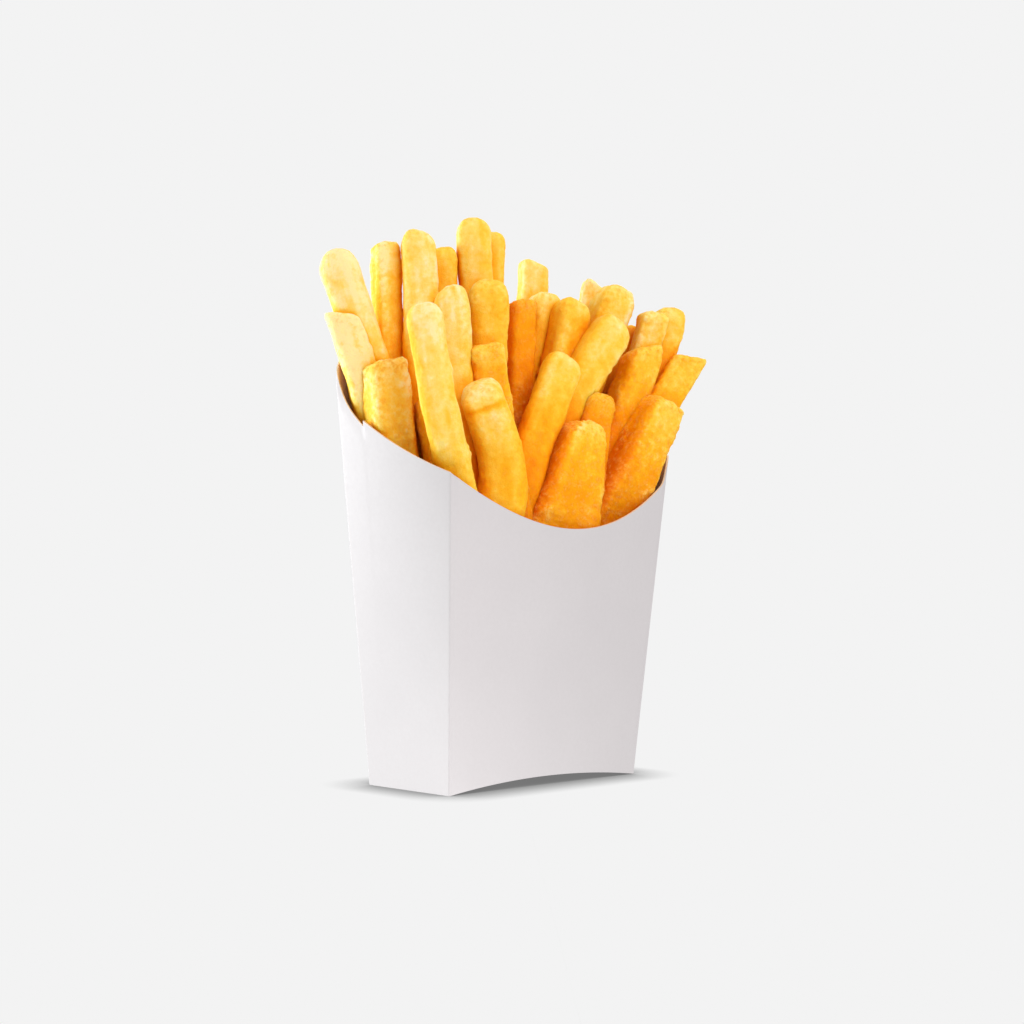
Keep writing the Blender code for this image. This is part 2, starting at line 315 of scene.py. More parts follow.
def friedPotato():
    look = potatoLook
    material, tree, shader, where = newMaterial("fried_potato")
    crust, relief = [addNode(tree, "ShaderNodeAttribute", attribute_name=name)
                     for name in ("fryCrust", "fryRelief")]
    crust = splitVector(tree, crust.outputs["Vector"])
    relief = splitVector(tree, relief.outputs["Vector"])
    crisp = relief["Y"]
    blotch, speck, fine = [noise(tree, where, *look[name]) for name in ("blotch", "speck", "fine")]
    tone = potatoTone(tree, where, crust, relief, blotch, speck)
    ramp = addNode(tree, "ShaderNodeValToRGB")
    while len(ramp.color_ramp.elements) < len(look["tones"]):
        ramp.color_ramp.elements.new(0.5)
    for element, (at, colour) in zip(ramp.color_ramp.elements, look["tones"]):
        element.position = at
        element.color = colour + (1,)
    plug(tree, ramp.inputs["Fac"], tone)

    # pale dry crumbs and painted highlights on raised spots of crisp fries, browner rims along crisp
    # edges and ends
    crumbsAndGlints = mapRange(tree, relief["X"], *look["crumbGlintRelief"], smooth=True)
    crumbsAndGlints = maths(tree, "MAXIMUM", crumbsAndGlints, product(tree, crust["Z"], look["crumbGlintAtEnd"]))
    crumbsAndGlints = total(tree, crumbsAndGlints, mapRange(tree, speck, *look["crumbGlintSpeck"]))
    crumbsAndGlints = product(tree, crumbsAndGlints, mapRange(tree, fine, *look["crumbGlintFine"]))
    amount = maths(tree, "MULTIPLY_ADD", crisp, *look["crumbGlintAmount"])
    crumbsAndGlints = maths(tree, "MULTIPLY", crumbsAndGlints, amount, clamp=True)
    tint = mixColour(tree, crumbsAndGlints, ramp.outputs["Color"], look["crumbGlintTint"])
    rim = maths(tree, "MAXIMUM", product(tree, crust["Y"], look["rimAtEdge"]), crust["Z"])
    rim = product(tree, rim, mapRange(tree, speck, *look["rimSpeck"]),
                  maths(tree, "MULTIPLY_ADD", crisp, *look["rimAmount"]))
    tint = mixColour(tree, rim, tint, look["rimTint"])
    plug(tree, shader.inputs["Base Color"], tint)
    plug(tree, shader.inputs["Roughness"], mapRange(tree, speck, 0.3, 0.7, *look["roughness"]))
    shader.inputs["Specular IOR Level"].default_value = look["specular"]
    shader.inputs["Subsurface Weight"].default_value = look["softness"]
    shader.inputs["Subsurface Radius"].default_value = look["softRadius"]
    shader.inputs["Subsurface Scale"].default_value = look["softScale"]
    addGrain(tree, shader, where, look["grain"])
    return material


potato = friedPotato()
boardMaterials = [boardMaterial(name) for name in boardLooks]    # outside, inside, cut edge
print("materials made")


# the carton: one blank of white board, folded and glued

carton = {
    "baseWidth": 0.080,
    "baseDepth": 0.033,
    "widthFlare": 0.075,
    "depthFlare": 0.062,
    "baseArch": 0.0026,
    "frontRimLow": 0.0748,
    "frontCornerRise": 0.0152,
    "horn": 0.0078,           # the right front corner stands this much higher than the left
    "hornPower": 60,
    "hornFade": 4,
    "sideRise": 0.0146,
    "sideCurve": 0.0075,
    "sideFlick": 0.008,
    "sideFlickPower": 21,
    "backRise": 0.009,
    "frontBulge": 0.006,
    "sideBulge": 0.0024,
    "backBulge": 0.003,
    "bulgePower": 1.5,
    "board": 0.0005,
    "lapAt": 0.735,
    "lapStep": 0.010,
    "flapDrop": 0.002,
    "columns": 60,
    "rows": 54,
    "lapColumns": 28,
    "flapColumns": 10,
    "weld": 0.00001,          # points of neighbouring panels this close become one
    "foldRadius": 0.00055,
    "foldSegments": 3,
    "sharpAngle": 50,
    "lapFade": 0.04,          # the lap closes flat over this share of the height
    "scoreAt": 0.0009,        # a shallow pressed line runs this far from each upright fold
    "scoreDepth": 0.00022,
    "scoreSharpness": 4,
    "buckle": 0.0003,         # the wide panels give by up to this much
    "buckleSize": 0.030,
    "calmReach": 0.008,       # both die away this close to a fold
}


def halfWidth(z):
    return carton["baseWidth"] / 2 + carton["widthFlare"] * z


def halfDepth(z):
    return carton["baseDepth"] / 2 + carton["depthFlare"] * z


def baseArch(across):
    return carton["baseArch"] * (1 - across * across)


def frontRim(across):
    horn = carton["horn"] * max(0.0, across) ** carton["hornPower"]
    return carton["frontRimLow"] + carton["frontCornerRise"] * across ** 2 + horn


def sideRim(back):                      # back is 0 at the front fold and 1 at the back fold
    climb = carton["sideRise"] * back + carton["sideCurve"] * back ** 2
    return frontRim(-1) + climb + carton["sideFlick"] * back ** carton["sideFlickPower"]


def rightRim(back):
    return sideRim(back) + carton["horn"] * (1 - back) ** carton["hornFade"]


def leftRim(back):                      # the glue flap behind the lap is cut a little lower
    if back <= carton["lapAt"]:
        return sideRim(back)
    return sideRim(back) - carton["flapDrop"] * (1 - back) / (1 - carton["lapAt"])


def backRim(across):
    return sideRim(1) + carton["backRise"] * math.sqrt(max(0.0, 1 - across * across))


def lapInset(across, back, up=1.0):     # past the lap the left side is the glue flap
    if back <= carton["lapAt"]:
        return 0.0
    gap = min(max((up - 1) / carton["lapFade"] + 1, 0.0), 1.0)
    return carton["board"] * (1 - across) / 2 * gap * gap * (3 - 2 * gap)


def pressedIn(point, fromFold, fromBase):   # the score line and slight buckling of a panel
    offLine = fromFold / carton["scoreAt"] - 1
    score = carton["scoreDepth"] * math.exp(-carton["scoreSharpness"] * offLine ** 2)
    calm = min(fromFold / carton["calmReach"], 1.0)
    buckle = carton["buckle"] * calm * noiseAt(point / carton["buckleSize"]) / 2
    return (score + buckle) * min(fromBase / carton["calmReach"], 1.0)


def bulgeOut(size, across, up):
    return size * max(0.0, 1 - across ** 2) * up ** carton["bulgePower"]


def frontPoint(across, up):
    low = baseArch(across)
    z = low + (frontRim(across) - low) * up
    y = -halfDepth(z) - bulgeOut(carton["frontBulge"], across, up)
    point = Vector((across * halfWidth(z), y, z))
    point.y += pressedIn(point, (1 - abs(across)) * halfWidth(z), z - low)
    return point


def backPoint(across, up):
    low = baseArch(across)
    z = low + (backRim(across) - low) * up
    y = halfDepth(z) + bulgeOut(carton["backBulge"], across, up)
    point = Vector((across * halfWidth(z) + lapInset(across, 1, up), y, z))
    point.y -= pressedIn(point, (1 - abs(across)) * halfWidth(z), z - low)
    return point


def rightPoint(back, up):
    z = rightRim(back) * up
    x = halfWidth(z) + bulgeOut(carton["sideBulge"], 2 * back - 1, up)
    return Vector((x, (2 * back - 1) * halfDepth(z), z))


def leftPoint(back, up):
    z = leftRim(back) * up
    bulge = bulgeOut(carton["sideBulge"], 2 * back - 1, up)
    x = -halfWidth(z) + lapInset(-1, back, up) - bulge
    return Vector((x, (2 * back - 1) * halfDepth(z), z))


def bottomPoint(across, back):
    z = baseArch(across)
    return Vector((across * halfWidth(z), (2 * back - 1) * halfDepth(z), z))


def cartonPlace():                      # where the CAD has the carton's own middle
    low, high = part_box("carton")
    frontMost = halfDepth(carton["frontRimLow"]) + carton["frontBulge"]
    return Vector((high.x - halfWidth(sideRim(1)), low.y + frontMost, low.z))


place = cartonPlace()


def stations(low, high, count, foldStep):   # even, with two more close to each end
    inner = np.linspace(low, high, count + 1)
    near = [low + foldStep, low + 2 * foldStep, high - 2 * foldStep, high - foldStep]
    return sorted(set(inner) | set(near))


def acrossStations():
    return stations(-1.0, 1.0, carton["columns"], 2 * carton["scoreAt"] / carton["baseWidth"])


def sideStations():
    foldStep = carton["scoreAt"] / carton["baseDepth"]
    flapStart = carton["lapAt"] + carton["lapStep"]
    return (stations(0.0, carton["lapAt"], carton["lapColumns"], foldStep)
            + stations(flapStart, 1.0, carton["flapColumns"], foldStep))


def addPanel(bm, number, columns, rows, placeAt):
    made = bmesh.ops.create_grid(
        bm, x_segments=len(columns) - 1, y_segments=len(rows) - 1, size=1)
    for vert in made["verts"]:
        column = round((vert.co.x + 1) / 2 * (len(columns) - 1))
        row = round((vert.co.y + 1) / 2 * (len(rows) - 1))
        vert.co = placeAt(columns[column], rows[row])
    panelOf = bm.faces.layers.int["panel"]
    for face in {face for vert in made["verts"] for face in vert.link_faces}:
        face[panelOf] = number


def cartonSkin():                       # the outer face of the board, open at the rim
    bm = bmesh.new()
    panelOf = bm.faces.layers.int.new("panel")
    foldOf = bm.edges.layers.float.new("bevel_weight_edge")
    across, sides = acrossStations(), sideStations()
    rows = list(np.linspace(0, 1, carton["rows"] + 1))
    front, back, left, right, bottom = range(5)
    addPanel(bm, front, across, rows, frontPoint)
    addPanel(bm, back, across, rows, backPoint)
    addPanel(bm, left, sides, rows, leftPoint)
    addPanel(bm, right, sides, rows, rightPoint)
    addPanel(bm, bottom, across, sides, bottomPoint)
    bmesh.ops.remove_doubles(bm, verts=bm.verts, dist=carton["weld"])
    bmesh.ops.recalc_face_normals(bm, faces=bm.faces)
    for edge in bm.edges:
        panels = {face[panelOf] for face in edge.link_faces}
        if len(panels) > 1 and bottom not in panels:
            edge[foldOf] = 1.0          # the upright folds are rounded, the bottom's are not
    return bm


def makeCarton():
    bm = cartonSkin()
    mesh = bpy.data.meshes.new("carton_board")
    bm.to_mesh(mesh)
    bm.free()
    mesh.transform(Matrix.Translation(place))
    for material in boardMaterials:
        mesh.materials.append(material)
    piece = newPiece("carton_board", mesh)
    folds = piece.modifiers.new("folds", "BEVEL")
    folds.limit_method = "WEIGHT"
    folds.width = carton["foldRadius"]
    folds.segments = carton["foldSegments"]
    folds.use_clamp_overlap = False
    board = piece.modifiers.new("board", "SOLIDIFY")
    board.thickness = carton["board"]
    board.offset = -1
    board.use_even_offset = True
    board.material_offset = 1
    board.material_offset_rim = 2
    bakedMesh(piece)
    piece.data.shade_smooth()
    piece.data.set_sharp_from_angle(angle=math.radians(carton["sharpAngle"]))
    return piece


cartonPiece = makeCarton()
print("carton folded:", len(cartonPiece.data.polygons), "faces")


# the camera

camera = {
    "fromCarton": (-0.463, -0.437, 0.0795),
    "turn": -46.73,                        # degrees from looking along +Y
    "roll": -0.86,
    "lens": 75.2,
    "sensor": 36.0,
    "clip": (0.01, 20.0),
}


def makeCamera():
    data = bpy.data.cameras.new("camera")
    data.lens = camera["lens"]
    data.sensor_width = camera["sensor"]
    data.clip_start, data.clip_end = camera["clip"]
    view = bpy.data.objects.new("camera", data)
    view.location = place + Vector(camera["fromCarton"])
    level = 90.0                        # a camera turned by this looks along the floor
    view.rotation_euler = [math.radians(a) for a in (level, camera["roll"], camera["turn"])]
    bpy.context.scene.collection.objects.link(view)
    bpy.context.scene.camera = view


makeCamera()
print("camera made")


# the fries

fries = {
    "crossingLevel": 0.085,    # height at which each fry's place in the carton is given
    "footLevel": 0.056,
    "footInset": 0.0015,
    "footHalf": 0.0069,        # the wall presses wider fries no further in than this
    "faceOn": -46.7,           # degrees: a fry turned by 0 shows the front its flat face
    "detail": {                # spacing of the rings and points in each; fewer where hidden
        "fries_front": {"step": 0.00041, "around": 96},
        "fries_second": {"step": 0.00058, "around": 70},
        "fries_third": {"step": 0.00056, "around": 72},
        "fries_back": {"step": 0.00066, "around": 58},
    },
    "hiddenStep": 0.0025,
    "hiddenBelow": 0.070,
    "wobble": 0.0006,
    "waves": ((0.011, 0.006), (0.012, 0.007)),     # long and short, across and through
    "spinePoints": 60,
    "softenings": 3,
    "footFlatness": 2.4,
    "footThinning": 4,         # the hidden foot keeps one in so many rings
    "domeFlatness": 2.6,       # ends flatter than this are also shallower
    "endPoints": 500,
    "fewestEndRings": 8,
    "twist": 7.0,              # degrees of twist from foot to tip, either way
    "seed": 11,
}

# Each fry in millimetres: x and y at the crossing level, then x, y and height of the tip,
# width at the tip, width at the crossing level, and bow. Then its look: turn in degrees,
# thickness over width, squareness, how flat the end is (2 is a dome), slant of the end
# across and through in mm, crispness, tone; then, if wanted, how much deeper the painted
# shade on the left face is and how far a crease is from the tip in mm.
fryRows = {
    "fries_front": [
        (-39.8, 5, -42.6, 10, 122, 14, 14, 0, 30, 0.92, 3.6, 5.0, 0.5, 0.4, 0.9, 0.24),
        (-37, -16, -45.6, -8.6, 137.5, 10.5, 10.8, -1.5, 4, 0.95, 2.5, 2.2, -0.2, 0.5, 0.15, 0.15, 0.09),
        (-21.8, -17.0, -29.2, -14.5, 115.4, 12.5, 15, 2, 6, 0.9, 2.8, 2.8, 0.4, -2.0, 0.35, 0.18, 0, 6.5),
        (-9, -11, 12.2, -10.5, 126, 12, 13.5, 0, 14, 0.9, 2.8, 2.5, -0.6, 0.0, 0.25, 0.27, 0.14),
        (7.5, -15, 12.5, -18, 106.5, 13.5, 23.5, 0, 35, 0.8, 5.0, 3.6, 1.8, -0.6, 0.9, 0.16, 0.36),
        (32.0, -13.2, 47.9, -19.8, 114.5, 14.5, 20, 0, 36, 0.85, 4.2, 3.6, 0.8, 0.0, 0.9, 0.26, 0.30),
    ],
    "fries_second": [
        (-37.4, 14.3, -51, 19.5, 135.8, 10.3, 10.3, 2.4, 10, 0.9, 3.0, 4.4, -2.2, 0.8, 0.35, 0.04, 0.08),
        (-31, -5, -33, 1, 112, 10, 10, 0, 20, 0.9, 3.8, 4.0, 0.0, 0.0, 0.5, 0.5),
        (-25, -6, -26, 0.5, 144.5, 10.5, 12, 0, 4, 0.9, 2.5, 2.1, 1.2, 0.5, 0.25, 0.18, 0.05),
        (-13, -11, -17.3, -5.5, 127.5, 11, 11, 0, 10, 0.9, 4.0, 4.2, 0.6, 0.3, 0.9, 0.48),
        (-11.5, 0, -9, 1.5, 148, 12.5, 13.5, 0, 6, 0.9, 2.7, 2.2, 0.4, 0.4, 0.5, 0.32),
        (-2, -1, 33, -13, 138, 13.2, 12.8, 0, 22, 0.85, 2.9, 2.6, -0.5, 0.6, 0.3, 0.23, 0.08),
        (12, -9, 14, -4, 112, 9.5, 9.5, 0, 30, 0.95, 4.0, 3.0, 0.0, 0.0, 0.5, 0.6),
        (18.8, -11, 24.8, -12.5, 115.6, 11.5, 13.5, 0, 26, 0.95, 3.6, 3.4, 0.0, 0.3, 0.85, 0.52),
        (29, -7, 46.5, -13, 131, 12, 14, 0, 30, 0.9, 3.4, 3.2, 3.4, 0.5, 0.85, 0.40, 0.1),
        (34, -10, 62, -18, 128, 11, 11.5, -1.5, 12, 0.9, 4.2, 4.6, 2.8, 0.0, 0.75, 0.38),
    ],
    "fries_third": [
        (-21, 11.5, -51.8, 22.2, 154.3, 11.8, 11.5, -3, 3, 0.95, 2.4, 2.0, 0.4, 0.4, 0.1, 0.10, 0.08),
        (-28.7, 7, -26.7, 13, 161.5, 10.7, 11.2, 0, 8, 0.9, 2.6, 2.2, -1.4, 0.3, 0.25, 0.12, 0.05),
        (5.5, 3, 12, 7.5, 143.5, 9.5, 9.5, 0, 30, 0.95, 3.8, 4.0, 0.5, 0.4, 0.7, 0.68),
        (12, -1, 27, 0, 144.8, 12.2, 12.2, 0, 36, 0.9, 3.2, 2.5, -0.4, 0.4, 0.5, 0.29, 0.1),
        (11, 8, 23.7, 8.5, 147, 10, 10, 0, 30, 0.9, 3.4, 2.8, 0.4, 0.3, 0.4, 0.24),
        (21, 7, 44.3, -4, 150, 13.2, 13, 0, 30, 0.9, 3.4, 2.3, 0.2, 0.6, 0.6, 0.26),
        (32, 0, 52, -12, 142.5, 9.5, 10, 4, 14, 0.95, 3.6, 3.2, 0.6, 0.2, 0.6, 0.18),
        (34.2, -3, 60.4, -11.8, 144.5, 11, 11.5, 4, 10, 0.9, 3.2, 2.4, 0.8, 0.3, 0.55, 0.27),
    ],
    "fries_back": [
        (-32.7, 16, -31.2, 22.5, 158, 9.2, 9.5, 0, 32, 0.9, 3.8, 4.4, 0.3, 0.4, 0.6, 0.14, 0.08),
        (-14, 13, -13, 17, 158.2, 9.5, 9.5, 0, 10, 0.9, 3.2, 2.5, 0.8, 0.3, 0.35, 0.36),
        (-3.5, 8, -4.5, 12.5, 167.5, 11.0, 10.6, 0, 5, 0.9, 2.6, 2.1, 0.0, 0.3, 0.2, 0.22),
        (3, 16, 5.5, 14.5, 164.5, 9.5, 9.5, 0, 5, 0.9, 2.8, 2.5, 0.5, 0.2, 0.2, 0.30),
        (19, 14, 28.7, 18, 157, 9.8, 9.8, 0, 20, 0.9, 4.2, 5.0, -1.2, 0.3, 0.2, 0.19),
        (31, 10, 47, 8.5, 151.3, 8.5, 8.5, 0, 20, 0.9, 4.2, 4.4, -1.8, 0.4, 0.4, 0.15),
        (-22, 17, -20, 19, 147, 9, 9, 0, 35, 0.9, 3.8, 3.0, 0.0, 0.0, 0.4, 0.42),
        (13, 17, 15, 20.5, 144, 9.5, 9.5, 0, 40, 0.9, 3.8, 3.6, 0.0, 0.0, 0.5, 0.46),
        (28, 17, 37, 20, 138, 9, 9, 0, 25, 0.9, 3.8, 3.0, 0.5, 0.0, 0.4, 0.38),
        (37.5, 14, 46, 20, 138, 10, 10, 0, 38, 0.9, 3.8, 2.6, 0.0, 0.0, 0.5, 0.42),
        (35, 8, 57, -1, 138, 10, 10.5, -1, 30, 0.9, 3.4, 3.4, 0.0, 0.0, 0.5, 0.36),
        (-6, 17, -4, 22.5, 141, 9, 9, 0, 20, 0.9, 3.8, 3.0, 0.0, 0.0, 0.4, 0.46),
    ],
}


def spinePoint(fry, along):             # 0 at the crossing level, 1 at the tip
    x, y, tipX, tipY, tipZ, tipWidth, width, bow = [value * 0.001 for value in fry[:8]]
    level = fries["crossingLevel"]
    point = Vector((x, y, level)).lerp(Vector((tipX, tipY, tipZ)), along)
    point.x += 4 * bow * along * (1 - along)
    if point.z < level:
        half = min(width / 2, fries["footHalf"])
        roomX = halfWidth(point.z) - carton["board"] - fries["footInset"] - half
        roomY = halfDepth(point.z) - carton["board"] - fries["footInset"] - half
        across = point.x / halfWidth(point.z)
        frontRoomY = roomY + bulgeOut(
            carton["frontBulge"], across, point.z / carton["frontRimLow"])
        point.x = min(max(point.x, -roomX), roomX)
        point.y = min(max(point.y, -frontRoomY), roomY)
    return point


def endProfile(width, flatness, step):  # distance from the end and ring size, a step apart
    depth = width / 2 * min(1.0, fries["domeFlatness"] / flatness)
    angle = np.linspace(0, math.pi / 2, fries["endPoints"])
    distance = depth * (1 - np.sin(angle) ** (2 / flatness))
    size = np.cos(angle) ** (2 / flatness)
    pace = np.hypot(np.diff(distance), np.diff(size) * width / 2)
    run = np.concatenate([[0], np.cumsum(pace)])
    count = max(fries["fewestEndRings"], round(run[-1] / step))
    steps = np.linspace(0, run[-1], count + 1)
    return np.interp(steps, run, distance)[:-1], np.interp(steps, run, size)[:-1]


def frySpine(fry, step, rng):
    width, flatness = fry[5] * 0.001, fry[11]
    level = fries["crossingLevel"] * 1000
    footShare = (fries["footLevel"] * 1000 - level) / (fry[4] - level)
    shares = np.linspace(footShare, 1, fries["spinePoints"])
    line = np.array([spinePoint(fry, share) for share in shares])
    for _ in range(fries["softenings"]):    # softens the bend where the foot meets the wall
        line[1:-1] = (line[:-2] + 2 * line[1:-1] + line[2:]) / 4
    run = np.concatenate([[0], np.cumsum(np.linalg.norm(np.diff(line, axis=0), axis=1))])
    length = run[-1]
    phase = rng.uniform(0, 2 * math.pi, 4)
    swing = fries["wobble"] * np.sin(math.pi * run / length)
    for k, (long, short) in enumerate(fries["waves"]):
        wave = np.sin(run / long + phase[2 * k]) + 0.5 * np.sin(run / short + phase[2 * k + 1])
        line[:, k] += swing * wave
    tipRun, tipSize = endProfile(width, flatness, step)
    footRun, footSize = endProfile(width, fries["footFlatness"], step)
    tipRun, tipSize = tipRun[::-1], tipSize[::-1]           # from the tip downwards
    shaft = [tipRun[-1]]
    while shaft[-1] < length - footRun.max() - fries["hiddenStep"]:
        z = np.interp(length - shaft[-1], run, line[:, 2])
        hidden = z < fries["hiddenBelow"]
        shaft.append(shaft[-1] + (fries["hiddenStep"] if hidden else step))
    thin = fries["footThinning"]
    fromTip = np.concatenate([tipRun, shaft[1:], length - footRun[::thin]])
    size = np.concatenate([tipSize, np.ones(len(shaft) - 1), footSize[::thin]])
    at = length - fromTip
    points = np.stack([np.interp(at, run, line[:, k]) for k in range(3)], axis=1)
    return points, size, fromTip


def faceShare(turn, ratio, power):      # face width over the width seen once it is turned
    dual = power / (power - 1)
    reach = abs(math.cos(turn)) ** dual + (ratio * abs(math.sin(turn))) ** dual
    return reach ** (-1 / dual)


def spineMesh(name, rows, step, rng):   # one chain of edges per fry, with its values
    points, edges = [], []
    names = ("frySection", "fryAcross", "fryEnd", "fryLook", "fryMark", "frySize")
    values = {attribute: [] for attribute in names}
    for fry in rows:
        line, size, fromTip = frySpine(fry, step, rng)
        start = len(points)
        points.extend(line + np.array(place))
        edges.extend((start + n, start + n + 1) for n in range(len(line) - 1))
        turn, ratio, square, flatness, slantAcross, slantThrough, crisp, tone = fry[8:16]
        leftFaceShade, crease = (list(fry[16:]) + [0, 0])[:2]
        share = faceShare(math.radians(turn), ratio, square)
        tipHeight = fry[4] * 0.001
        twist = rng.uniform(-1, 1) * fries["twist"]
        seed = rng.uniform(0, 90)
        for n in range(len(line)):
            lift = (line[n][2] - fries["crossingLevel"]) / (tipHeight - fries["crossingLevel"])
            lift = min(max(lift, -0.3), 1)
            width = (fry[6] + (fry[5] - fry[6]) * lift) * 0.001 * share
            angle = math.radians(fries["faceOn"] + turn + twist * (lift - 1))
            values["frySection"].append((width, width * ratio, square))
            values["fryAcross"].append((math.cos(angle), math.sin(angle), 0.0))
            values["fryEnd"].append((slantAcross * 0.001, slantThrough * 0.001, fromTip[n]))
            values["fryLook"].append((seed, crisp, tone))
            values["fryMark"].append((leftFaceShade, crease * 0.001, 0.0))
            values["frySize"].append(size[n])
    mesh = bpy.data.meshes.new(name)
    mesh.from_pydata([tuple(p) for p in points], edges, [])
    for attribute, numbers in values.items():
        single = attribute == "frySize"
        kind, field = ("FLOAT", "value") if single else ("FLOAT_VECTOR", "vector")
        layer = mesh.attributes.new(attribute, kind, "POINT")
        layer.data.foreach_set(field, np.array(numbers, np.float32).ravel())
    return mesh


fryShape = {                            # named inputs of the tree that shapes the fries
    "Corner Crowding": 0.35,
    "Edge Narrowness": 1.6,
    "Swell": 0.10,
    "Swell Scale": 70.0,
    "Square Change": 2.0,
    "Face Sink": 0.075,
    "Sink Scale": 60.0,
    "Lump Size": 0.0065,
    "Lump Height": 0.0011,
    "Patch Scale": 95.0,
    "Blister Size": 0.0019,
    "Blister Height": 0.0006,
    "Grain Size": 0.0010,
    "Grain Height": 0.00034,
    "Crumble Scale": 420.0,
    "Edge Crumble": 0.0011,
    "End Crumble": 0.0016,
    "End Reach": 0.007,
    "Crease Width": 0.0011,
    "Crease Waver": 0.004,
    "Crease Depth": -0.05,
    # painted shade along the crease
    "Crease Painted Shade": 0.3,
    "Streaks": 0.5,
    "Streak Scale": 32.0,
    "Streak Spread": 1.6,
    # painted light at the tip and painted shade down the shaft
    "Tip Painted Light": -0.10,
    "Shaft Painted Shade": 0.12,
    "Shaft Reach": 0.07,
    "Relief Unit": 0.0005,
    "Seed": 3.0,
}


def named(tree, name, kind="FLOAT_VECTOR"):
    node = addNode(tree, "GeometryNodeInputNamedAttribute", data_type=kind)
    node.inputs["Name"].default_value = name
    return node.outputs["Attribute"]


def captured(tree, geometry, kind, **fields):       # fields kept as they are at this point
    node = addNode(tree, "GeometryNodeCaptureAttribute")
    plug(tree, node.inputs["Geometry"], geometry)
    for name in fields:
        node.capture_items.new(kind, name)
    for name, field in fields.items():
        plug(tree, node.inputs[name], field)
    return node.outputs


def through(tree, kind, geometry, settings=None, **values):     # a node that geometry passes
    node = addNode(tree, kind, **(settings or {}))
    plug(tree, node.inputs["Geometry"], geometry)
    for name, value in values.items():
        plug(tree, node.inputs[name], value)
    return node.outputs["Geometry"]


def sweepRings(tree, given):            # a ring along each spine, and what its points remember
    curve = addNode(tree, "GeometryNodeMeshToCurve")
    plug(tree, curve.inputs["Mesh"], given["Geometry"])
    spine = captured(tree, curve.outputs["Curve"], "VECTOR",
                     Middle=addNode(tree, "GeometryNodeInputPosition").outputs[0],
                     Axis=addNode(tree, "GeometryNodeInputTangent").outputs[0])
    circle = addNode(tree, "GeometryNodeCurvePrimitiveCircle")
    plug(tree, circle.inputs["Resolution"], given["Around"])
    circle.inputs["Radius"].default_value = 0.001
    ring = captured(tree, circle.outputs["Curve"], "FLOAT",
                    Round=addNode(tree, "GeometryNodeSplineParameter").outputs["Factor"])
    sweep = addNode(tree, "GeometryNodeCurveToMesh")
    plug(tree, sweep.inputs["Curve"], spine["Geometry"])
    plug(tree, sweep.inputs["Profile Curve"], ring["Geometry"])
    sweep.inputs["Fill Caps"].default_value = True
    return sweep.outputs["Mesh"], spine["Middle"], spine["Axis"], ring["Round"]


def creaseAt(tree, given, middle, angle, sine, fromTip, creaseFrom):
    waver = centred(tree, noise(tree, middle, 0.0, 0.0, seed=product(tree, angle, 0.9)))
    gap = maths(tree, "MULTIPLY_ADD", waver, given["Crease Waver"], fromTip)
    gap = maths(tree, "SUBTRACT", gap, creaseFrom)
    gap = maths(tree, "DIVIDE", gap, given["Crease Width"])
    crease = maths(tree, "EXPONENT", product(tree, gap, gap, -1.0))
    wanted = maths(tree, "GREATER_THAN", creaseFrom, 0.001)
    return product(tree, crease, wanted, mapRange(tree, sine, 0.1, 0.8, smooth=True))


def reliefHeights(tree, given, seed, crisp, edge, atEnd):   # in metres, along the normal
    position = addNode(tree, "GeometryNodeInputPosition").outputs[0]

    def sized(name, detail, roughness=0.5):
        scale = maths(tree, "DIVIDE", 1.0, given[name])
        return noise(tree, position, scale, detail, roughness, seed)

    lumps = product(tree, centred(tree, sized("Lump Size", 1.0)), given["Lump Height"])
    patches = noise(tree, position, given["Patch Scale"], 2.0, seed=total(tree, seed, 7.0))
    patchFrom = maths(tree, "MULTIPLY_ADD", crisp, -0.3, 0.62)
    patches = mapRange(tree, patches, patchFrom, 0.75, smooth=True)
    blisters = mapRange(tree, sized("Blister Size", 2.0, 0.55), 0.42, 0.72)
    blisters = product(tree, blisters, given["Blister Height"], patches)
    grain = product(tree, centred(tree, sized("Grain Size", 2.0, 0.6)), given["Grain Height"])
    ragged = noise(tree, position, given["Crumble Scale"], 3.0, 0.6, total(tree, seed, 3.0))
    edgeAmount = product(tree, edge, given["Edge Crumble"], total(tree, crisp, 0.25))
    endAmount = product(tree, atEnd, given["End Crumble"], crisp)
    crumble = product(tree, centred(tree, ragged), total(tree, edgeAmount, endAmount))
    return lumps, blisters, grain, crumble


def fryTone(tree, given, seed, cosine, sine, crease, look, mark, fromTip):
    # painted shade: the left face's tone deepens by the fry's own amount
    left = mapRange(tree, cosine, -0.58, -0.80, smooth=True)
    tone = maths(tree, "MULTIPLY_ADD", left, mark["X"], look["Z"])
    # painted shade darkens the crease
    tone = total(tree, tone, product(tree, crease, given["Crease Painted Shade"]))
    lengthways = joinVector(tree, product(tree, cosine, given["Streak Spread"]),
                            product(tree, sine, given["Streak Spread"]),
                            product(tree, fromTip, given["Streak Scale"]))
    streak = centred(tree, noise(tree, lengthways, 1.0, 3.0, 0.55, seed))
    # painted light at the tip, painted shade deepening down the shaft
    shaft = mapRange(tree, fromTip, 0.0, given["Shaft Reach"],
                     given["Tip Painted Light"], given["Shaft Painted Shade"])
    return total(tree, tone, product(tree, streak, given["Streaks"]), shaft)


